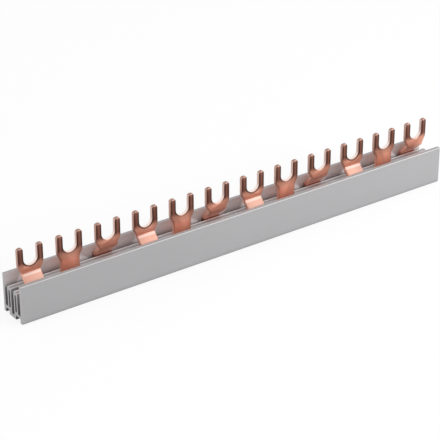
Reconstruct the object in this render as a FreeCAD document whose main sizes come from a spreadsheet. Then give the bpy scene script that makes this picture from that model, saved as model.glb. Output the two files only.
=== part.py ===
import FreeCAD, Part
import math
import os

import Sketcher

# Fork comb busbar, three phases, twelve poles.
# One extruded insulating profile holds three stamped copper bars on edge, each in a lane of its own.
# Every third fork belongs to the same bar. The middle bar's tabs rise straight from its lane. The
# front bar's tabs step back to the middle lane, and the rear bar is the same stamping turned end for
# end, so that all forks stand in one plane.
# +X runs along the profile, +Y from its front wall to its rear wall, +Z up towards the fork tips.
# The origin is the bottom centre of the profile. All sizes are in millimetres.

# Driving sizes: name in the sheet, value, meaning
SIZES = (
    ("ModulePitch", 17.8, "distance between neighbouring forks, one breaker pole"),
    ("ForksPerBar", 4, "forks on each phase bar"),
    ("EndMargin", 8.6, "distance of the outer forks from the ends of the profile"),
    ("ProfileHeight", 17.1, "height of the front and rear walls"),
    ("FrontWall", 1.9, "thickness of the front wall"),
    ("RearWall", 1.3, "thickness of the rear wall"),
    ("FinWall", 0.8, "thickness of each wall of a fin"),
    ("FinHollow", 1.25, "width of the closed hollow in a fin"),
    ("FinDrop", 4.55, "depth of the fin tops below the top of the walls"),
    ("FinCap", 1.3, "thickness of a fin's closed top"),
    ("HollowFloor", 3.5, "height of the bottom of the hollows"),
    ("SideFloor", 3.2, "height of the floor of the front and rear lanes"),
    ("MiddleFloor", 1.5, "height of the floor of the middle lane"),
    ("GrooveHeight", 2.0, "depth of the two grooves in the underside"),
    ("FrontFoot", 2.2, "width of the foot under the front wall"),
    ("RearFoot", 1.5, "width of the foot under the rear wall"),
    ("BlockFront", 2.05, "reach of the centre foot in front of the middle lane"),
    ("BlockBack", 3.05, "reach of the centre foot behind the middle lane"),
    ("FrontEdgeRadius", 1.1, "radius of the lower front edge"),
    ("WallEdgeRadius", 0.3, "radius of the top edges of the walls and of the lower rear edge"),
    ("FinEdgeRadius", 0.5, "radius of the top edges of the fins"),
    ("InsideRadius", 0.35, "radius inside the hollows and grooves"),
    ("StripThickness", 1.8, "thickness of the copper"),
    ("StripHeight", 6.7, "height of the strip that stands in the lane"),
    ("StripClearance", 0.1, "gap on each side of a strip in its lane"),
    ("StripSetback", 2.5, "distance of a strip's ends from the ends of the profile"),
    ("TabWidth", 8.4, "width of the tab that carries a fork"),
    ("RootRadius", 1.0, "radius between tab and strip"),
    ("LegHeight", 2.7, "height of a stepped tab's straight leg, from the strip to the step"),
    ("StepRise", 1.5, "height of the top of the sideways step above the walls"),
    ("BendRadius", 0.5, "inner radius of both bends of the step"),
    ("SeatRise", 2.7, "height of the bottom of the gap above the step"),
    ("GapDepth", 8.5, "depth of the gap, from its bottom to the tips"),
    ("ShoulderRise", 1.1, "height of the top of the shoulders above the bottom of the gap"),
    ("ShoulderHeight", 4.9, "height over which the tab widens to the fork"),
    ("ForkWidth", 11.5, "width over both prongs"),
    ("ForkGap", 6.2, "width of the gap between the prongs"),
    ("LeadInHeight", 0.7, "height of the bevels on the front and back of the tips"),
    ("LeadInDepth", 0.4, "depth of the bevels on the front and back of the tips"),
)

# The bars from front to back
BARS = ("front_phase_bar", "middle_phase_bar", "rear_phase_bar")

# Sizes that follow from the driving ones
BAR_PITCH = f"({len(BARS)} * Sizes.ModulePitch)"
LENGTH = f"(Sizes.ForksPerBar * {BAR_PITCH} - Sizes.ModulePitch + 2 * Sizes.EndMargin)"
LANE_WIDTH = "(Sizes.StripThickness + 2 * Sizes.StripClearance)"
LANE_PITCH = f"({LANE_WIDTH} + 2 * Sizes.FinWall + Sizes.FinHollow)"
DEPTH = f"(Sizes.FrontWall + Sizes.RearWall + {LANE_WIDTH} + 2 * {LANE_PITCH})"
FRONT_FACE = f"(-{DEPTH} / 2)"
REAR_FACE = f"({DEPTH} / 2)"
MIDDLE_LANE = f"({FRONT_FACE} + Sizes.FrontWall + {LANE_WIDTH} / 2 + {LANE_PITCH})"
FIN_TOP = "(Sizes.ProfileHeight - Sizes.FinDrop)"
HOLLOW_TOP = f"({FIN_TOP} - Sizes.FinCap)"
STEP_TOP = "(Sizes.ProfileHeight + Sizes.StepRise)"
STEP_BOTTOM = "(Sizes.SideFloor + Sizes.StripHeight + Sizes.LegHeight)"
SEAT = f"({STEP_TOP} + Sizes.SeatRise)"
TIP = f"({SEAT} + Sizes.GapDepth)"
OFFCUT_TOP = f"({TIP} + Sizes.StripThickness)"
SHOULDER_TOP = f"({SEAT} + Sizes.ShoulderRise)"
NECK_TOP = f"({SHOULDER_TOP} - Sizes.ShoulderHeight)"
TIP_RADIUS = "((Sizes.ForkWidth - Sizes.ForkGap) / 4)"

doc = FreeCAD.newDocument("comb_busbar")
sheet = doc.addObject("Spreadsheet::Sheet", "Sizes")
for row, (alias, number, meaning) in enumerate(SIZES, 1):
    sheet.set(f"A{row}", meaning)
    sheet.set(f"B{row}", str(number))
    sheet.setAlias(f"B{row}", alias)
doc.recompute()


def value(expression):
    """Number that an expression over the sheet gives now."""
    return float(sheet.evalExpression(expression))


def new_body(label):
    body = doc.addObject("PartDesign::Body", label)
    body.Label = label
    return body


def origin_part(body, role):
    return next(item for item in body.Origin.OriginFeatures if item.Role == role)


def new_sketch(body, name, role, offset="0"):
    """Sketch on one of the body's origin planes, moved along that plane's normal."""
    sketch = body.newObject("Sketcher::SketchObject", name)
    sketch.AttachmentSupport = [(origin_part(body, role), "")]
    sketch.MapMode = "FlatFace"
    sketch.setExpression("AttachmentOffset.Base.z", offset)
    return sketch


def line(x1, y1, x2, y2):
    return Part.LineSegment(FreeCAD.Vector(x1, y1, 0), FreeCAD.Vector(x2, y2, 0))


def arc(x, y, radius, start, end):
    """Arc about a centre, counter-clockwise from one angle to another."""
    circle = Part.Circle(FreeCAD.Vector(x, y, 0), FreeCAD.Vector(0, 0, 1), radius)
    return Part.ArcOfCircle(circle, start, end)


def constrain(sketch, kind, *places):
    sketch.addConstraint(Sketcher.Constraint(kind, *places))


def drive(sketch, kind, places, expression):
    """Constraint whose size follows an expression over the sheet."""
    index = sketch.addConstraint(Sketcher.Constraint(kind, *places, value(expression)))
    sketch.setExpression(f"Constraints[{index}]", expression)


def outline(sketch, corners):
    """Closed outline of straight edges, each corner held by two expressions."""
    points = [(value(across), value(up)) for across, up in corners]
    first = sketch.GeometryCount
    for start, end in zip(points, points[1:] + points[:1]):
        sketch.addGeometry(line(*start, *end), False)
    for number, (across, up) in enumerate(corners):
        following = first + (number + 1) % len(corners)
        constrain(sketch, "Coincident", first + number, 2, following, 1)
        drive(sketch, "DistanceX", (first + number, 1), across)
        drive(sketch, "DistanceY", (first + number, 1), up)


def rectangle(sketch, left, right, bottom, top):
    outline(sketch, [(left, bottom), (right, bottom), (right, top), (left, top)])


def extrude(body, kind, name, sketch, length):
    """Pad or pocket that reaches equally far to both sides of its sketch."""
    feature = body.newObject(f"PartDesign::{kind}", name)
    feature.Profile = sketch
    feature.SideType = "Symmetric"
    feature.setExpression("Length", length)
    doc.recompute()
    return feature


def edges_at(shape, places, axis):
    """Names of the edges along one axis, at places given by two expressions each."""
    across = [other for other in range(3) if other != axis]
    found = []
    for place in places:
        target = [value(expression) for expression in place]
        for number, edge in enumerate(shape.Edges, 1):
            ends = [vertex.Point for vertex in edge.Vertexes]
            gaps = [abs(end[k] - want) for end in ends for k, want in zip(across, target)]
            if max(gaps) < 1e-4:
                found.append(f"Edge{number}")
    if len(found) < len(places):
        raise ValueError(f"{len(found)} edges found at {len(places)} places")
    return found


def round_edges(body, name, places, radius, axis=0):
    base = body.Tip
    fillet = body.newObject("PartDesign::Fillet", name)
    fillet.Base = (base, edges_at(base.Shape, places, axis))
    fillet.setExpression("Radius", radius)
    doc.recompute()


def make_profile():
    """Extruded profile: two walls, two hollow fins between three lanes, a grooved underside."""
    body = new_body("insulating_profile")
    lanes = [
        (f"({MIDDLE_LANE} + {side} * {LANE_PITCH} - {LANE_WIDTH} / 2)",
         f"({MIDDLE_LANE} + {side} * {LANE_PITCH} + {LANE_WIDTH} / 2)")
        for side in (-1, 0, 1)
    ]
    (front_near, front_far), (middle_near, middle_far), (rear_near, rear_far) = lanes
    front_foot = f"({FRONT_FACE} + Sizes.FrontFoot)"
    rear_foot = f"({REAR_FACE} - Sizes.RearFoot)"
    block_front = f"({MIDDLE_LANE} - Sizes.BlockFront)"
    block_back = f"({MIDDLE_LANE} + Sizes.BlockBack)"

    section = new_sketch(body, "profile_section", "YZ_Plane")
    outline(section, [
        (FRONT_FACE, "0"),
        (front_foot, "0"),
        (front_foot, "Sizes.GrooveHeight"),
        (block_front, "Sizes.GrooveHeight"),
        (block_front, "0"),
        (block_back, "0"),
        (block_back, "Sizes.GrooveHeight"),
        (rear_foot, "Sizes.GrooveHeight"),
        (rear_foot, "0"),
        (REAR_FACE, "0"),
        (REAR_FACE, "Sizes.ProfileHeight"),
        (rear_far, "Sizes.ProfileHeight"),
        (rear_far, "Sizes.SideFloor"),
        (rear_near, "Sizes.SideFloor"),
        (rear_near, FIN_TOP),
        (middle_far, FIN_TOP),
        (middle_far, "Sizes.MiddleFloor"),
        (middle_near, "Sizes.MiddleFloor"),
        (middle_near, FIN_TOP),
        (front_far, FIN_TOP),
        (front_far, "Sizes.SideFloor"),
        (front_near, "Sizes.SideFloor"),
        (front_near, "Sizes.ProfileHeight"),
        (FRONT_FACE, "Sizes.ProfileHeight"),
    ])
    fins = ((front_far, middle_near), (middle_far, rear_near))
    hollows = [(f"({near} + Sizes.FinWall)", f"({far} - Sizes.FinWall)") for near, far in fins]
    for near, far in hollows:
        rectangle(section, near, far, "Sizes.HollowFloor", HOLLOW_TOP)
    extrude(body, "Pad", "extrusion", section, LENGTH)

    round_edges(body, "lower_front_edge", [(FRONT_FACE, "0")], "Sizes.FrontEdgeRadius")
    wall_edges = [(face, "Sizes.ProfileHeight") for face in (FRONT_FACE, front_near, rear_far, REAR_FACE)]
    wall_edges.append((REAR_FACE, "0"))
    round_edges(body, "wall_edges", wall_edges, "Sizes.WallEdgeRadius")
    fin_edges = [(face, FIN_TOP) for fin in fins for face in fin]
    round_edges(body, "fin_edges", fin_edges, "Sizes.FinEdgeRadius")
    inside = [(face, "Sizes.GrooveHeight") for face in (front_foot, block_front, block_back, rear_foot)]
    for hollow in hollows:
        inside += [(face, end) for face in hollow for end in ("Sizes.HollowFloor", HOLLOW_TOP)]
    round_edges(body, "inside_corners", inside, "Sizes.InsideRadius")
    return body


def draw_step(sketch, base):
    """Bent tab seen from the end: up from the front lane, a slanting step, up in the middle lane.
    Both faces of the sheet turn about the same two bend centres."""
    half, bend = value("Sizes.StripThickness") / 2, value("Sizes.BendRadius")
    wide = bend + 2 * half
    foot, low, high = value(base), value(STEP_BOTTOM), value(STEP_TOP)
    lane = -value(LANE_PITCH)
    low_x, high_x = lane + half + bend, -half - bend
    spread = math.hypot(high_x - low_x, high - low)
    slope = math.atan2(high - low, high_x - low_x) - math.asin((bend + wide) / spread)
    across, up = -math.sin(slope), math.cos(slope)
    quarter = math.pi / 2

    edges = {
        "front_leg": line(lane - half, foot, lane - half, low),
        "front_low": arc(low_x, low, wide, quarter + slope, math.pi),
        "front_slant": line(low_x + wide * across, low + wide * up,
                            high_x - bend * across, high - bend * up),
        "front_high": arc(high_x, high, bend, slope - quarter, 0),
        "top": line(-half, high, half, high),
        "rear_high": arc(high_x, high, wide, slope - quarter, 0),
        "rear_slant": line(high_x - wide * across, high - wide * up,
                           low_x + bend * across, low + bend * up),
        "rear_low": arc(low_x, low, bend, quarter + slope, math.pi),
        "rear_leg": line(lane + half, low, lane + half, foot),
        "bottom": line(lane + half, foot, lane - half, foot),
    }
    at = {name: sketch.addGeometry(edge, False) for name, edge in edges.items()}

    smooth = (("front_leg", 2, "front_low", 2), ("front_low", 1, "front_slant", 1),
              ("front_slant", 2, "front_high", 1), ("rear_high", 1, "rear_slant", 1),
              ("rear_slant", 2, "rear_low", 1), ("rear_low", 2, "rear_leg", 1))
    for one, end, two, start in smooth:
        constrain(sketch, "Tangent", at[one], end, at[two], start)
    corners = (("front_high", 2, "top", 1), ("top", 2, "rear_high", 2),
               ("rear_leg", 2, "bottom", 1), ("bottom", 2, "front_leg", 1),
               ("front_low", 3, "rear_low", 3), ("front_high", 3, "rear_high", 3))
    for one, end, two, start in corners:
        constrain(sketch, "Coincident", at[one], end, at[two], start)
    for name in ("front_leg", "rear_leg"):
        constrain(sketch, "Vertical", at[name])
    for name in ("top", "bottom"):
        constrain(sketch, "Horizontal", at[name])
    drive(sketch, "DistanceX", (at["front_leg"], 1), f"-{LANE_PITCH} - Sizes.StripThickness / 2")
    drive(sketch, "DistanceX", (at["rear_leg"], 1), f"-{LANE_PITCH} + Sizes.StripThickness / 2")
    drive(sketch, "DistanceX", (at["top"], 1), "-Sizes.StripThickness / 2")
    drive(sketch, "DistanceX", (at["top"], 2), "Sizes.StripThickness / 2")
    drive(sketch, "DistanceY", (at["bottom"], 1), base)
    drive(sketch, "DistanceY", (at["front_low"], 3), STEP_BOTTOM)
    drive(sketch, "DistanceY", (at["front_high"], 3), STEP_TOP)
    drive(sketch, "DistanceY", (at["top"], 1), STEP_TOP)
    for name in ("front_high", "rear_low"):
        drive(sketch, "Radius", (at[name],), "Sizes.BendRadius")


def draw_offcut(sketch, base):
    """Sheet that is cut away round a fork, seen from the front. Its inner edge is the fork: a neck that
    widens in two equal curves, two round-tipped prongs and the half-round bottom of their gap."""
    neck, outer, inner = (value(f"Sizes.{name}") / 2 for name in ("TabWidth", "ForkWidth", "ForkGap"))
    foot, neck_top, shoulder = value(base), value(NECK_TOP), value(SHOULDER_TOP)
    turn = 2 * math.atan2(outer - neck, shoulder - neck_top)
    bow = (shoulder - neck_top) / (2 * math.sin(turn))
    round_tip = value(TIP_RADIUS)
    tip, seat = value(TIP) - round_tip, value(SEAT) + inner
    far, above = 2 * outer, value(OFFCUT_TOP)
    half = math.pi

    edges = {
        "left_foot": line(-far, foot, -neck, foot),
        "left_neck": line(-neck, foot, -neck, neck_top),
        "left_low": arc(-neck - bow, neck_top, bow, 0, turn),
        "left_high": arc(-outer + bow, shoulder, bow, half, half + turn),
        "left_side": line(-outer, shoulder, -outer, tip),
        "left_tip": arc(-outer + round_tip, tip, round_tip, 0, half),
        "left_gap": line(-inner, tip, -inner, seat),
        "seat": arc(0, seat, inner, half, 2 * half),
        "right_gap": line(inner, seat, inner, tip),
        "right_tip": arc(outer - round_tip, tip, round_tip, 0, half),
        "right_side": line(outer, tip, outer, shoulder),
        "right_high": arc(outer - bow, shoulder, bow, -turn, 0),
        "right_low": arc(neck + bow, neck_top, bow, half - turn, half),
        "right_neck": line(neck, neck_top, neck, foot),
        "right_foot": line(neck, foot, far, foot),
        "right_end": line(far, foot, far, above),
        "top": line(far, above, -far, above),
        "left_end": line(-far, above, -far, foot),
    }
    at = {name: sketch.addGeometry(edge, False) for name, edge in edges.items()}

    # Point 1 of an arc is its start and point 2 its end, counter-clockwise
    smooth = (("left_neck", 2, "left_low", 1), ("left_low", 2, "left_high", 2),
              ("left_high", 1, "left_side", 1), ("left_side", 2, "left_tip", 2),
              ("left_tip", 1, "left_gap", 1), ("left_gap", 2, "seat", 1),
              ("seat", 2, "right_gap", 1), ("right_gap", 2, "right_tip", 2),
              ("right_tip", 1, "right_side", 1), ("right_side", 2, "right_high", 2),
              ("right_high", 1, "right_low", 1), ("right_low", 2, "right_neck", 1))
    for one, end, two, start in smooth:
        constrain(sketch, "Tangent", at[one], end, at[two], start)
    corners = ("right_neck", "right_foot", "right_end", "top", "left_end", "left_foot", "left_neck")
    for one, two in zip(corners, corners[1:]):
        constrain(sketch, "Coincident", at[one], 2, at[two], 1)
    for name in ("left_foot", "right_foot", "top"):
        constrain(sketch, "Horizontal", at[name])
    for side, sign, upper in (("left", "-", 1), ("right", "", 2)):
        uprights = (("neck", "TabWidth / 2"), ("side", "ForkWidth / 2"), ("gap", "ForkGap / 2"),
                    ("end", "ForkWidth"))
        for name, distance in uprights:
            upright = at[f"{side}_{name}"]
            constrain(sketch, "Vertical", upright)
            drive(sketch, "DistanceX", (upright, 1), f"{sign}Sizes.{distance}")
        constrain(sketch, "Equal", at[f"{side}_low"], at[f"{side}_high"])
        drive(sketch, "DistanceY", (at[f"{side}_foot"], 1), base)
        drive(sketch, "DistanceY", (at[f"{side}_neck"], 3 - upper), NECK_TOP)
        drive(sketch, "DistanceY", (at[f"{side}_side"], upper), SHOULDER_TOP)
        drive(sketch, "DistanceY", (at[f"{side}_tip"], 3), f"{TIP} - {TIP_RADIUS}")
    drive(sketch, "DistanceY", (at["top"], 1), OFFCUT_TOP)
    drive(sketch, "DistanceY", (at["seat"], 3), f"{SEAT} + Sizes.ForkGap / 2")


def make_bar(label, number, floor, stepped):
    """Stamped bar in its own frame, whose origin lies under its first fork in the middle lane. Each tab
    is a wide upright sheet, stepped or straight, which is then cut to the outline of the fork."""
    body = new_body(label)
    first_fork = f"(Sizes.EndMargin + {number} * Sizes.ModulePitch)"
    strip_top = f"({floor} + Sizes.StripHeight)"
    lane = LANE_PITCH if stepped else "0"

    strip = new_sketch(body, f"{label}_strip_outline", "XZ_Plane", lane)
    rectangle(strip, f"Sizes.StripSetback - {first_fork}",
              f"{LENGTH} - Sizes.StripSetback - {first_fork}", floor, strip_top)
    extrude(body, "Pad", f"{label}_strip", strip, "Sizes.StripThickness")

    tab = []
    if stepped:
        step = new_sketch(body, f"{label}_step_section", "YZ_Plane")
        draw_step(step, strip_top)
        tab.append(extrude(body, "Pad", f"{label}_step", step, "Sizes.ForkWidth"))
    upright = new_sketch(body, f"{label}_upright_section", "YZ_Plane")
    foot = STEP_TOP if stepped else strip_top
    outline(upright, [
        ("-Sizes.StripThickness / 2", foot),
        ("-Sizes.StripThickness / 2", f"{TIP} - Sizes.LeadInHeight"),
        ("-Sizes.StripThickness / 2 + Sizes.LeadInDepth", TIP),
        ("Sizes.StripThickness / 2 - Sizes.LeadInDepth", TIP),
        ("Sizes.StripThickness / 2", f"{TIP} - Sizes.LeadInHeight"),
        ("Sizes.StripThickness / 2", foot),
    ])
    tab.append(extrude(body, "Pad", f"{label}_upright", upright, "Sizes.ForkWidth"))
    offcut = new_sketch(body, f"{label}_fork_outline", "XZ_Plane")
    draw_offcut(offcut, strip_top)
    both_lanes = f"2 * ({LANE_PITCH} + Sizes.StripThickness)"
    tab.append(extrude(body, "Pocket", f"{label}_fork", offcut, both_lanes))

    row_of_tabs = body.newObject("PartDesign::LinearPattern", f"{label}_row_of_tabs")
    row_of_tabs.Originals = tab
    row_of_tabs.Direction = (origin_part(body, "X_Axis"), [""])
    row_of_tabs.Mode = "Spacing"
    row_of_tabs.setExpression("Offset", BAR_PITCH)
    row_of_tabs.setExpression("Occurrences", "Sizes.ForksPerBar")
    body.Tip = row_of_tabs
    doc.recompute()

    roots = [(f"({BAR_PITCH} * {place} + {side} * Sizes.TabWidth / 2)", strip_top)
             for place in range(int(value("Sizes.ForksPerBar"))) for side in (-1, 1)]
    round_edges(body, f"{label}_tab_roots", roots, "Sizes.RootRadius", axis=1)
    return body


def stand_in_profile(body, number, turned):
    """Places a bar with its first fork the given number of poles along from the profile's left end, or
    from its right end where the bar is turned end for end."""
    angle = 180 if turned else 0
    sign = "-" if turned else ""
    body.Placement = FreeCAD.Placement(FreeCAD.Vector(), FreeCAD.Rotation(FreeCAD.Vector(0, 0, 1), angle))
    body.setExpression("Placement.Base.x",
                       f"{sign}(Sizes.EndMargin + {number} * Sizes.ModulePitch - {LENGTH} / 2)")
    body.setExpression("Placement.Base.y", MIDDLE_LANE)


profile = make_profile()
front_bar = make_bar(BARS[0], 0, "Sizes.SideFloor", stepped=True)
middle_bar = make_bar(BARS[1], 1, "Sizes.MiddleFloor", stepped=False)
rear_bar = make_bar(BARS[2], 0, "Sizes.SideFloor", stepped=True)
stand_in_profile(front_bar, 0, turned=False)
stand_in_profile(middle_bar, 1, turned=False)
stand_in_profile(rear_bar, 0, turned=True)
doc.recompute()

bodies = (profile, front_bar, middle_bar, rear_bar)
for item in doc.Objects:
    if "Invalid" in item.State or "Error" in item.State:
        raise RuntimeError(f"{item.Name} failed: {item.State}")
for body in bodies:
    if body.Shape.isNull() or not body.Shape.isValid():
        raise RuntimeError(f"{body.Label} has no valid shape")

os.makedirs("parts", exist_ok=True)
for body in bodies:
    body.Shape.exportStep(f"parts/{body.Label}.step")
    box = body.Shape.BoundBox
    print(f"{body.Label}: {box.XLength:.2f} x {box.YLength:.2f} x {box.ZLength:.2f} mm, "
          f"{body.Shape.Volume:.0f} mm3, solids: {len(body.Shape.Solids)}")
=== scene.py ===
"""Dresses the comb busbar: rounded edges and finishes, a pale floor, soft light and a camera."""
import math

import bpy
from bpy.props import FloatProperty, FloatVectorProperty, PointerProperty
from mathutils import Matrix, Vector


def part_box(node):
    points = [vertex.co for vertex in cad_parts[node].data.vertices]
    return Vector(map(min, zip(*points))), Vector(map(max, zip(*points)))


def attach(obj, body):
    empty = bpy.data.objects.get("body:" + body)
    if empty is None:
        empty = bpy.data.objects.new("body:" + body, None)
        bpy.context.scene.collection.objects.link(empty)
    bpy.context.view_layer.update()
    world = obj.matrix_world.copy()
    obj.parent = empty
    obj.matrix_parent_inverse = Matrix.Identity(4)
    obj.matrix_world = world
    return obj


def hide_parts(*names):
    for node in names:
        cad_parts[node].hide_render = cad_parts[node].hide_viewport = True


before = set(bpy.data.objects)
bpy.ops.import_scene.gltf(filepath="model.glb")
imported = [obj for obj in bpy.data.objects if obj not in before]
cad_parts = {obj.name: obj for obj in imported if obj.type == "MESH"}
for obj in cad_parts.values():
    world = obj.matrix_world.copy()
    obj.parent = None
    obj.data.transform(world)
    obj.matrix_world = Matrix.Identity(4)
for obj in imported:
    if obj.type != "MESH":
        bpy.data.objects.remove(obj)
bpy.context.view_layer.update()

bl_info = {
    "name": "Comb Busbar",
    "version": (1, 0, 0),
    "blender": (4, 5, 0),
    "location": "View3D > Sidebar > Comb Busbar",
    "description": "Finishes the pieces of a comb busbar and sets them on a lit floor",
    "category": "Object",
}

PROFILE = "insulating_profile"
BARS = ("front_phase_bar", "middle_phase_bar", "rear_phase_bar")
PROFILE_LOW, PROFILE_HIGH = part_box(PROFILE)
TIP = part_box(BARS[1])[1].z

# All sizes are in metres.
# Where the forks stand along the profile, and how far a prong's middle is from its fork's middle
FORK_PITCH = 0.0178
END_MARGIN = 0.0086
FIRST_FORK = PROFILE_LOW.x + END_MARGIN
PRONG_MIDDLE = 0.0044

# The gap in each fork, and the height of the centre of its round bottom
GAP_RADIUS = 0.0031
GAP_DEPTH = 0.0085
GAP_CENTRE = TIP - GAP_DEPTH + GAP_RADIUS

# The walls of the profile, and the lanes between them that hold the strips of the bars
FRONT_WALL = 0.0019
REAR_WALL = 0.0013
LANE_WIDTH = 0.0020
LANE_PITCH = 0.00485

# Where these stand along Y: the inner face of each wall, the back of the rear fin, the middle strip
FRONT_INSIDE = PROFILE_LOW.y + FRONT_WALL
REAR_INSIDE = PROFILE_HIGH.y - REAR_WALL
FIN_BACK = REAR_INSIDE - LANE_WIDTH
MIDDLE_STRIP = REAR_INSIDE - LANE_WIDTH / 2 - LANE_PITCH

# Each pair below says where a finish starts to come in or go out, and where it has done so.
# Heights on the profile
UNDERSIDE = (0.0002, 0.0006)
LOW_EDGE = (0.0008, 0.0022)
GROOVE_ROOF = (0.0020, 0.0022)
LANE_DARK = (0.0075, 0.0120)
WALL_EDGE = (0.0100, 0.0110)
WALL_PALE = (0.0100, 0.0130)
FIN_TOP = (0.0130, 0.0135)

# Distances on the profile: from a wall's inner face, from its middle, and from the middle strip
NEAR_WALL = (0.0001, 0.0003)
OUTER_WALL = (0.0062, 0.0066)
BESIDE_LANE = (0.0014, 0.0016)

# The painted light in a band on top of each fin: its start and its end, as distances behind the
# fin's back
FIN_LIGHT_START = (-0.0011, -0.0009)
FIN_LIGHT_END = (0.0001, 0.0002)

# Heights on the copper. The inside of the stepped tabs' upper bend is at BEND_TOP.
BEND_TOP = 0.0186
LANE_SHADE = (0.0095, 0.0125)
LEG_SHADE = (0.0125, 0.0145)
NECK_SHADE = (0.0170, 0.0208)
BEND_LIGHT = (BEND_TOP - 0.0012, BEND_TOP - 0.0009)
BEND_DARK = (BEND_TOP - 0.0006, BEND_TOP - 0.0001)
FORK_FOOT = (0.0202, 0.0206)
GAP_BOTTOM = (0.0225, 0.0245)
TIP_PALE = (TIP - 0.0025, TIP - 0.0010)
TIP_BEVEL = (TIP - 0.0007, TIP - 0.0004)

# Distances on the copper: from the middle strip, from the edge of a gap, from a prong's middle
TAB_STEP = (0.0030, 0.0034)
GAP_FACE = (0.0002, 0.0004)
GAP_EDGE = (0.0004, 0.0008)
PRONG_STREAK = (0.0001, 0.0009)

# How the stamped edges of the bars are found and rounded
SAME_POINT = 0.000002
FLAT_ANGLE = math.radians(0.5)
SHARP_ANGLE = math.radians(50)
SMOOTH_ANGLE = math.radians(35)
ROUNDING_STEPS = 3

# The stage
WHITE = (1.0, 1.0, 1.0)
SENSOR_WIDTH_MM = 36
NEAREST_SEEN = 0.01


# The kinds of settings that the looks below are made of

def colour(name, description, default):
    return FloatVectorProperty(name=name, description=description, default=default,
                               size=3, subtype="COLOR", min=0, max=1)


def length(name, description, default):
    return FloatProperty(name=name, description=description, default=default,
                         min=0, unit="LENGTH", precision=5)


def share(name, description, default):
    return FloatProperty(name=name, description=description, default=default,
                         min=0, soft_max=1)


def power(name, description, default):
    return FloatProperty(name=name, description=description, default=default,
                         min=0, unit="POWER")


def place(name, description, default):
    return FloatVectorProperty(name=name, description=description, default=default,
                               size=3, subtype="TRANSLATION")


def angle(name, description, degrees):
    return FloatProperty(name=name, description=description, default=math.radians(degrees),
                         subtype="ANGLE")


class InsulationLook(bpy.types.PropertyGroup):
    plastic: colour("Plastic", "Colour of the rigid plastic", (0.365, 0.36, 0.368))
    # Painted light: a much lighter grey on the inner faces of both walls, in place of the light
    # that falls there
    inside: colour("Inside", "Colour of the inner faces of both walls", (0.78, 0.735, 0.74))
    # Painted shade: a dark grey down in the lanes and hollows, where shade falls
    painted_deep_shade: colour("Deep", "Colour of the plastic down in the lanes and hollows",
                 (0.25, 0.235, 0.235))
    # Painted highlight: a light grey on the rounded edges along the profile
    edges: colour("Edges", "Colour of the rounded edges that run along the profile",
                  (0.66, 0.63, 0.63))
    sawn: colour("Sawn end", "Colour of the sawn ends", (0.52, 0.51, 0.52))
    streaks: share("Streaks", "Strength of the extrusion streaks along the profile", 0.10)
    roughness: share("Roughness", "Roughness of the plastic", 0.36)


class CopperLook(bpy.types.PropertyGroup):
    # Painted light: the upright faces of the sheet get a brighter copper than the sloping faces, in
    # place of the light that they reflect
    sheet: colour("Sheet", "Colour of the rolled faces of the sheet", (0.60, 0.36, 0.29))
    upright: colour("Upright sheet", "Colour of the upright faces of the sheet",
                    (1.0, 0.47, 0.335))
    cut: colour("Cut edge", "Colour of the sheared edges", (0.58, 0.36, 0.30))
    # Painted highlight: a pale copper on the bends, the faces that look down, the sides of the
    # necks and the faces of the gaps
    painted_highlight: colour("Polished", "Colour of the gaps and bends that the tools polished",
                     (1.0, 0.86, 0.80))
    # Tarnished copper together with painted shade: the dark prongs stand partly for dark
    # reflections, and this colour also paints shade on the necks, the bends, the legs and the lanes
    tarnish_and_shade: colour("Tarnish", "Colour of the tarnished prongs", (0.10, 0.041, 0.030))
    tarnish_and_shade_foot: length("Tarnish starts", "Height at which the tarnish on the forks starts",
                         0.0205)
    tarnish_and_shade_full: length("Tarnish is full", "Height from which the prongs are fully tarnished",
                         0.0235)
    rolled_edge: length("Rolled edge", "Width of the rounding along the stamped edges", 0.00035)
    roughness: share("Roughness", "Roughness of the rolled faces", 0.38)


class StageLook(bpy.types.PropertyGroup):
    floor: colour("Floor", "Colour of the floor", (0.86, 0.86, 0.86))
    floor_size: length("Floor size", "Length of the sides of the floor", 4.0)
    floor_white: share("Floor white", "Share of plain white in the floor that is seen", 0.85)
    sky: share("Sky", "Strength of the even light from all sides", 0.82)
    key_power: power("Key light", "Power of the lamp, low in front on the right", 1.8)
    key_size: length("Key light size", "Length of the sides of the lamp", 0.10)
    key_place: place("Key light place", "Place of the lamp", (0.36, -0.46, 0.25))
    look_at: place("Look at", "Point that the camera looks at",
                   (-0.012771, -0.00735, 0.017637))
    azimuth: angle("Azimuth", "Turn of the camera round the busbar", 35.067)
    elevation: angle("Elevation", "Height of the camera as an angle", 28.138)
    roll: angle("Roll", "Tilt of the camera about its own view", -0.172)
    distance: length("Distance", "Distance of the camera from the point it looks at", 0.75496)
    lens: FloatProperty(name="Lens", description="Focal length of the camera", default=150.36,
                        subtype="DISTANCE_CAMERA")


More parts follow.
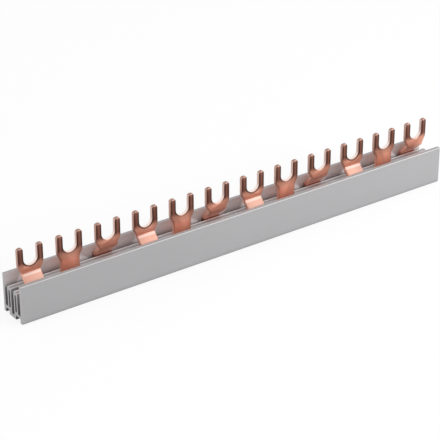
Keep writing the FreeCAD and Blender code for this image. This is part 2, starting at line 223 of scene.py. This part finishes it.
class Value:
    """A number or colour in a node tree. Arithmetic on it adds the nodes that work it out."""

    def __init__(self, tree, socket):
        self.tree = tree
        self.socket = socket

    def _maths(self, operation, *inputs):
        return self.tree.node("ShaderNodeMath", {"operation": operation},
                              dict(enumerate(inputs))).out(0)

    def out(self, output):
        """Another output of the node that this value comes from."""
        return Value(self.tree, self.socket.node.outputs[output])

    def __add__(self, other):
        return self._maths("ADD", self, other)

    __radd__ = __add__

    def __sub__(self, other):
        return self._maths("SUBTRACT", self, other)

    def __rsub__(self, other):
        return self._maths("SUBTRACT", other, self)

    def __mul__(self, other):
        return self._maths("MULTIPLY", self, other)

    __rmul__ = __mul__

    def __abs__(self):
        return self._maths("ABSOLUTE", self)

    def highest(self, other):
        return self._maths("MAXIMUM", self, other)

    def lowest(self, other):
        return self._maths("MINIMUM", self, other)

    def root(self):
        return self._maths("SQRT", self)

    def wrapped(self, low, high):
        """The value moved by whole steps into the range from low to high."""
        return self._maths("WRAP", self, high, low)

    def rise(self, low, high):
        """0 below low, 1 above high, and a smooth rise between them."""
        return self.tree.node("ShaderNodeMapRange", {"interpolation_type": "SMOOTHSTEP"},
                              {"Value": self, "From Min": low, "From Max": high}).out("Result")

    def fall(self, low, high):
        """1 below low, 0 above high, and a smooth fall between them."""
        return 1 - self.rise(low, high)


class Tree:
    """The node tree of a new material or of the world."""

    def __init__(self, owner):
        owner.use_nodes = True
        self.nodes = owner.node_tree.nodes
        self.links = owner.node_tree.links
        self.nodes.clear()

    def node(self, kind, settings=None, inputs=None):
        """Adds a node, with its settings first and then the values or links of its sockets."""
        node = self.nodes.new(kind)
        for name, setting in (settings or {}).items():
            setattr(node, name, setting)
        for name, given in (inputs or {}).items():
            if isinstance(given, Value):
                self.links.new(given.socket, node.inputs[name])
            else:
                node.inputs[name].default_value = given
        return Value(self, node.outputs[0]) if node.outputs else None

    def place(self):
        """The shaded point in the busbar's own frame, in metres."""
        return self.node("ShaderNodeTexCoord").out("Object")

    def facing(self):
        """The direction that the surface faces, in the busbar's own frame."""
        return self.node("ShaderNodeTexCoord").out("Normal")

    def parts(self, vector):
        """X, Y and Z of a vector."""
        split = self.node("ShaderNodeSeparateXYZ", None, {"Vector": vector})
        return [split.out(axis) for axis in "XYZ"]

    def noise(self, stretch, detail, roughness=0.55):
        """Noise from 0 to 1 whose grains per metre are given along X, Y and Z."""
        where = self.node("ShaderNodeMapping", None,
                          {"Vector": self.place(), "Scale": stretch})
        return self.node("ShaderNodeTexNoise", None,
                         {"Vector": where, "Scale": 1.0, "Detail": detail,
                          "Roughness": roughness}).out(0)

    def mix(self, factor, first, second):
        """Colour that goes from the first to the second as the factor goes from 0 to 1."""
        # A Mix node has sockets for all kinds of data at once: 6 and 7 take colours, 2 gives one
        return self.node("ShaderNodeMix", {"data_type": "RGBA"},
                         {0: factor, 6: as_colour(first), 7: as_colour(second)}).out(2)

    def seen(self):
        """1 for light that the camera, a reflection or clear material sees, 0 for other light."""
        path = self.node("ShaderNodeLightPath")
        kinds = [path.out(f"Is {kind} Ray") for kind in ("Camera", "Glossy", "Transmission")]
        return kinds[0].highest(kinds[1]).highest(kinds[2])

    def blend(self, factor, first, second):
        """Shader that goes from the first to the second as the factor goes from 0 to 1."""
        return self.node("ShaderNodeMixShader", None, {0: factor, 1: first, 2: second})

    def finish(self, kind, shader):
        """Ends the tree in an output node of the given kind."""
        self.node(kind, None, {"Surface": shader})

    def surface(self, sockets):
        """Ends a material in one Principled shader with the given sockets."""
        shader = self.node("ShaderNodeBsdfPrincipled", None, sockets)
        self.finish("ShaderNodeOutputMaterial", shader)


def as_colour(given):
    """A colour for a socket: a node's own, or three numbers with a full fourth."""
    return given if isinstance(given, Value) else (*given, 1.0)


def scaled(colour_value, factor):
    """A colour made darker or lighter."""
    return tuple(min(1.0, factor * part) for part in colour_value)


def insulation(look):
    """Light grey rigid plastic, with the fine streaks that the extruder leaves along it. Painted
    light lies on the inner faces of the walls and on top of the fins, painted highlights along the
    rounded edges, and painted shade in the lanes, the hollows, the grooves and along the lower
    edge.
    """
    material = bpy.data.materials.new("rigid_plastic")
    tree = Tree(material)
    _, y, z = tree.parts(tree.place())
    face_x, face_y, face_z = tree.parts(tree.facing())
    middle = (PROFILE_LOW.y + PROFILE_HIGH.y) / 2

    streaks = tree.noise((9, 2400, 2400), 4.0)
    cloud = tree.noise((45, 90, 90), 2.0)
    saw = tree.noise((4000, 900, 5200), 2.0)

    # Each of these is 1 on one part of the profile and 0 off it. The ranges for face_x, face_y and
    # face_z are shares of the direction that a surface faces.
    cut_end = abs(face_x).rise(0.6, 0.9)
    from_wall = abs(y - REAR_INSIDE).lowest(abs(y - FRONT_INSIDE))
    inner_face = from_wall.fall(*NEAR_WALL) * z.rise(*WALL_PALE)
    within = abs(y - middle).fall(*OUTER_WALL) * z.rise(*UNDERSIDE)
    painted_deep_shade = within * z.fall(*LANE_DARK)
    # Painted shade in the grooves under the profile
    painted_groove_shade = within * z.fall(*GROOVE_ROOF) * abs(y - MIDDLE_STRIP).rise(*BESIDE_LANE)
    rolled = (abs(face_y) * abs(face_z)).rise(0.12, 0.42) * z.rise(*WALL_EDGE)
    from_fin = (y - FIN_BACK).wrapped(-LANE_PITCH / 2, LANE_PITCH / 2)
    fin_edge = from_fin.rise(*FIN_LIGHT_START) * from_fin.fall(*FIN_LIGHT_END)
    fin_top_light = fin_edge * within * face_z.rise(0.3, 0.6) * z.fall(*FIN_TOP)

    # The outer faces first, each part over them, and the sawn ends last
    # Painted shade along the lower edge of the profile
    low_edge_shade = z.fall(*LOW_EDGE)
    paint = tree.mix(low_edge_shade * 0.3, look.plastic, scaled(look.plastic, 0.5))
    # Painted light on the inner faces of the walls
    paint = tree.mix(inner_face, paint, look.inside)
    # Painted highlights along the rounded edges
    paint = tree.mix(rolled, paint, look.edges)
    # Painted light in a band on top of each fin
    paint = tree.mix(fin_top_light, paint, scaled(look.edges, 1.35))
    paint = tree.mix(streaks.rise(0.35, 0.7) * look.streaks, paint, scaled(look.plastic, 0.72))
    paint = tree.mix(cloud.rise(0.45, 0.75) * 0.12, paint, scaled(look.plastic, 0.82))
    # Painted shade down in the lanes and hollows
    paint = tree.mix(painted_deep_shade, paint, look.painted_deep_shade)
    # Painted shade, near black, in the grooves under the profile
    paint = tree.mix(painted_groove_shade, paint, scaled(look.painted_deep_shade, 0.07))
    sawn = tree.mix(saw.rise(0.35, 0.7) * 0.35, look.sawn, scaled(look.sawn, 0.75))
    paint = tree.mix(cut_end, paint, sawn)

    rough = look.roughness + streaks * 0.10 + cut_end * 0.15
    height = streaks * (1 - cut_end) + saw * cut_end
    bump = tree.node("ShaderNodeBump", None,
                     {"Strength": 0.10, "Distance": 0.0001, "Height": height})
    tree.surface({"Base Color": paint, "Roughness": rough, "Normal": bump, "IOR": 1.50})
    return material


def copper(look):
    """Stamped copper: painted highlights on the bends and in the gaps, tarnished prongs darkened
    with painted shade, and dull sheared sides.
    """
    material = bpy.data.materials.new("stamped_copper")
    tree = Tree(material)
    x, y, z = tree.parts(tree.place())
    face_x, _, face_z = tree.parts(tree.facing())

    grain = tree.noise((2600, 2600, 150), 4.0)
    blotches = tree.noise((230, 230, 160), 3.0)
    fine = tree.noise((5200, 5200, 5200), 2.0)

    # Distances from the middle of the nearest fork and from the edge of its gap
    along = x - FIRST_FORK
    across = abs(along.wrapped(-FORK_PITCH / 2, FORK_PITCH / 2))
    below = (z - GAP_CENTRE).lowest(0.0)
    beside_gap = (across * across + below * below).root() - GAP_RADIUS

    # About 0 on the forks of the front bar, 0.5 on those of the middle bar, 1 on those of the rear
    bar = along.wrapped(-FORK_PITCH / 2, 2.5 * FORK_PITCH) * (0.5 / FORK_PITCH)

    # Each of these is 1 on one part of a bar and 0 off it, with the same kind of ranges
    middle_bar = abs(bar - 0.5).fall(0.2, 0.3)
    stepped = abs(y - MIDDLE_STRIP).rise(*TAB_STEP)
    lane = z.fall(*LANE_SHADE)
    leg = stepped * z.fall(*LEG_SHADE)
    fork = z.rise(look.tarnish_and_shade_foot, look.tarnish_and_shade_full)
    coined = z.rise(*TIP_BEVEL)
    in_fork = z.rise(*FORK_FOOT)
    straight_gap = z.rise(*GAP_BOTTOM)
    sideways = (face_x * face_x + face_z * face_z * in_fork).root()
    cut = sideways.rise(0.72, 0.95)
    rounded = sideways.rise(0.12, 0.45) * (1 - cut) * (1 - coined)
    gap_face = in_fork * cut * beside_gap.fall(*GAP_FACE) * (1 - coined)
    gap_edge = in_fork * (1 - cut) * beside_gap.fall(*GAP_EDGE)
    gap_edge = gap_edge * (1 - 0.85 * bar * (1 - straight_gap))
    middle_streak = abs(across - PRONG_MIDDLE).fall(*PRONG_STREAK)
    sloping = face_z.rise(0.1, 0.3) * (1 - in_fork)
    corner = sloping * z.rise(*BEND_DARK)
    bend = sloping * z.rise(*BEND_LIGHT) * (1 - corner)
    upright = face_z.fall(0.15, 0.6)
    underneath = (face_z * -1.0).rise(0.1, 0.6)

    # The faces of the sheet: necks and bends
    # Painted light: brighter copper on the upright faces than on the sloping ones
    sheet = tree.mix(upright, look.sheet, look.upright)
    sheet = tree.mix(blotches.rise(0.35, 0.7) * 0.35, sheet, scaled(look.upright, 0.85))
    # Painted light on the faces that look down, a painted highlight where each stepped tab bends,
    # and painted shade in the corner above it
    sheet = tree.mix(underneath * 0.2, sheet, look.painted_highlight)
    sheet = tree.mix(bend * 0.35, sheet, look.painted_highlight)
    sheet = tree.mix(corner * 0.5, sheet, look.tarnish_and_shade)
    # Painted shade: the upright necks darken towards the forks, more on the middle bar
    neck_shade = upright * z.rise(*NECK_SHADE) * (0.25 + 0.25 * middle_bar)
    sheet = tree.mix(neck_shade, sheet, look.tarnish_and_shade)

    # The faces of the prongs over them, tarnished and darkened with painted shade, and the edges
    # all round made darker
    streak = middle_streak * grain.rise(0.25, 0.6)
    prong = tree.mix(streak, look.tarnish_and_shade, scaled(look.tarnish_and_shade, 2.4))
    prong = tree.mix(z.rise(*TIP_PALE) * 0.07, prong, look.cut)
    paint = tree.mix(fork * (1 - cut), sheet, prong)
    paint = tree.mix(rounded * (0.15 + 0.15 * fork), paint, scaled(look.tarnish_and_shade, 0.6))
    edge_share = gap_edge * (0.85 - 0.40 * straight_gap)
    paint = tree.mix(edge_share, paint, scaled(look.tarnish_and_shade, 0.45))

    # The sheared sides: on the necks, on the prongs and in the gaps
    side = tree.mix(blotches.rise(0.4, 0.7) * 0.4, look.cut, scaled(look.cut, 0.8))
    # Painted light on the sides of the necks, and a painted highlight on the faces of the gaps
    neck_side = tree.mix(blotches.rise(0.3, 0.6), look.upright, look.painted_highlight)
    side = tree.mix(in_fork, tree.mix(0.75, neck_side, look.upright), side)
    side = tree.mix(gap_face * (0.85 - 0.50 * straight_gap), side, look.painted_highlight)
    paint = tree.mix(cut, paint, side)

    # The bevelled tips, and the shade of the lanes
    paint = tree.mix(coined, paint, scaled(look.cut, 0.7))
    paint = tree.mix(leg * 0.6, paint, look.tarnish_and_shade)
    paint = tree.mix(lane, paint, scaled(look.tarnish_and_shade, 0.5))

    rough = look.roughness + grain * 0.10 + coined * 0.10
    bump = tree.node("ShaderNodeBump", None,
                     {"Strength": 0.12, "Distance": 0.0001, "Height": grain * 0.6 + fine * 0.4})
    tree.surface({"Base Color": paint, "Metallic": 1.0, "Roughness": rough, "Normal": bump})
    return material


def wear(piece, material):
    """Gives a piece one material in place of those it has."""
    piece.data.materials.clear()
    piece.data.materials.append(material)


def roll_edges(node, width):
    """Copy of a stamped bar whose sheared edges are rounded, in the place of the bar."""
    bpy.ops.object.select_all(action="DESELECT")
    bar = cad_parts[node]
    piece = bpy.data.objects.new(f"{node}_rolled", bar.data.copy())
    bpy.context.scene.collection.objects.link(piece)
    bpy.context.view_layer.objects.active = piece
    piece.select_set(True)
    bpy.ops.mesh.customdata_custom_splitnormals_clear()
    bpy.ops.object.mode_set(mode="EDIT")
    bpy.ops.mesh.select_all(action="SELECT")
    bpy.ops.mesh.remove_doubles(threshold=SAME_POINT)
    bpy.ops.mesh.dissolve_limited(angle_limit=FLAT_ANGLE)
    bpy.ops.object.mode_set(mode="OBJECT")
    rounding = piece.modifiers.new("rolled_edges", "BEVEL")
    rounding.width = width
    rounding.segments = ROUNDING_STEPS
    rounding.limit_method = "ANGLE"
    rounding.angle_limit = SHARP_ANGLE
    rounding.use_clamp_overlap = False
    bpy.ops.object.modifier_apply(modifier=rounding.name)
    bpy.ops.object.shade_smooth_by_angle(angle=SMOOTH_ANGLE)
    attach(piece, "root")
    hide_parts(node)
    return piece


class BUSBAR_OT_insulation(bpy.types.Operator):
    """Finish the extruded profile in light grey rigid plastic"""

    bl_idname = "busbar.insulation"
    bl_label = "Finish the Profile"

    def execute(self, context):
        wear(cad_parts[PROFILE], insulation(context.scene.busbar_insulation))
        return {"FINISHED"}


class BUSBAR_OT_phase_bars(bpy.types.Operator):
    """Round the stamped edges of the phase bars and finish them in copper"""

    bl_idname = "busbar.phase_bars"
    bl_label = "Finish the Phase Bars"

    def execute(self, context):
        look = context.scene.busbar_copper
        material = copper(look)
        for node in BARS:
            wear(roll_edges(node, look.rolled_edge), material)
        return {"FINISHED"}


def floor_material(look):
    """Pale floor that shows white to the camera and in the copper, and keeps the shadow."""
    material = bpy.data.materials.new("pale_floor")
    tree = Tree(material)
    seen = tree.seen()
    paint = tree.mix(seen, look.floor, WHITE)
    lit = tree.node("ShaderNodeBsdfDiffuse", None, {"Color": paint})
    white = tree.node("ShaderNodeEmission", None, {"Strength": 1.0})
    tree.finish("ShaderNodeOutputMaterial", tree.blend(seen * look.floor_white, lit, white))
    return material


def add_floor(look):
    """A square floor under the busbar."""
    bpy.ops.mesh.primitive_plane_add(size=look.floor_size, location=(0, 0, 0))
    floor = bpy.context.object
    floor.name = "floor"
    wear(floor, floor_material(look))


def add_sky(scene, look):
    """Even light from all sides, plain white where it is seen itself."""
    world = bpy.data.worlds.new("soft_sky")
    scene.world = world
    tree = Tree(world)
    colour_of_sky = as_colour(WHITE)
    sky = tree.node("ShaderNodeBackground", None, {"Color": colour_of_sky, "Strength": look.sky})
    white = tree.node("ShaderNodeBackground", None, {"Color": colour_of_sky, "Strength": 1.0})
    tree.finish("ShaderNodeOutputWorld", tree.blend(tree.seen(), sky, white))


def add_lamp(look):
    """A small square lamp that shines towards the middle of the busbar."""
    stand = Vector(look.key_place)
    bpy.ops.object.light_add(type="AREA", location=stand)
    lamp = bpy.context.object
    lamp.name = "key_light"
    lamp.data.energy = look.key_power
    lamp.data.size = look.key_size
    lamp.rotation_euler = stand.to_track_quat("Z", "Y").to_euler()


def camera_place(look):
    """Camera's frame from its turn, height, roll and distance about the point it looks at."""
    backwards = Vector((-math.sin(look.azimuth) * math.cos(look.elevation),
                        -math.cos(look.azimuth) * math.cos(look.elevation),
                        math.sin(look.elevation)))
    level = Vector((0, 0, 1)).cross(backwards).normalized()
    above = backwards.cross(level)
    across = level * math.cos(look.roll) + above * math.sin(look.roll)
    upwards = above * math.cos(look.roll) - level * math.sin(look.roll)
    turned = Matrix((across, upwards, backwards)).transposed().to_4x4()
    return Matrix.Translation(Vector(look.look_at) + backwards * look.distance) @ turned


def add_camera(scene, look):
    """The camera at the photograph's viewing angle."""
    bpy.ops.object.camera_add()
    camera = bpy.context.object
    camera.name = "camera"
    camera.data.lens = look.lens
    camera.data.sensor_width = SENSOR_WIDTH_MM
    camera.data.clip_start = NEAREST_SEEN
    camera.matrix_world = camera_place(look)
    scene.camera = camera


class BUSBAR_OT_stage(bpy.types.Operator):
    """Set the busbar on a pale floor, light it and place the camera"""

    bl_idname = "busbar.stage"
    bl_label = "Build the Stage"

    def execute(self, context):
        scene = context.scene
        look = scene.busbar_stage
        add_floor(look)
        add_sky(scene, look)
        add_lamp(look)
        add_camera(scene, look)
        scene.view_settings.view_transform = "Standard"
        return {"FINISHED"}


class BUSBAR_PT_panel(bpy.types.Panel):
    """Sizes, colours and steps of the comb busbar"""

    bl_idname = "BUSBAR_PT_panel"
    bl_label = "Comb Busbar"
    bl_space_type = "VIEW_3D"
    bl_region_type = "UI"
    bl_category = "Comb Busbar"

    def draw(self, context):
        for name, group, operator in STEPS:
            box = self.layout.box()
            settings = getattr(context.scene, name)
            for setting in group.__annotations__:
                box.prop(settings, setting)
            box.operator(operator.bl_idname)


STEPS = (
    ("busbar_insulation", InsulationLook, BUSBAR_OT_insulation),
    ("busbar_copper", CopperLook, BUSBAR_OT_phase_bars),
    ("busbar_stage", StageLook, BUSBAR_OT_stage),
)


def register():
    for name, group, operator in STEPS:
        bpy.utils.register_class(group)
        bpy.utils.register_class(operator)
        setattr(bpy.types.Scene, name, PointerProperty(type=group))
    bpy.utils.register_class(BUSBAR_PT_panel)


def unregister():
    bpy.utils.unregister_class(BUSBAR_PT_panel)
    for name, group, operator in reversed(STEPS):
        delattr(bpy.types.Scene, name)
        bpy.utils.unregister_class(operator)
        bpy.utils.unregister_class(group)


def main():
    register()
    bpy.ops.busbar.insulation()
    bpy.ops.busbar.phase_bars()
    bpy.ops.busbar.stage()


if __name__ == "__main__":
    main()
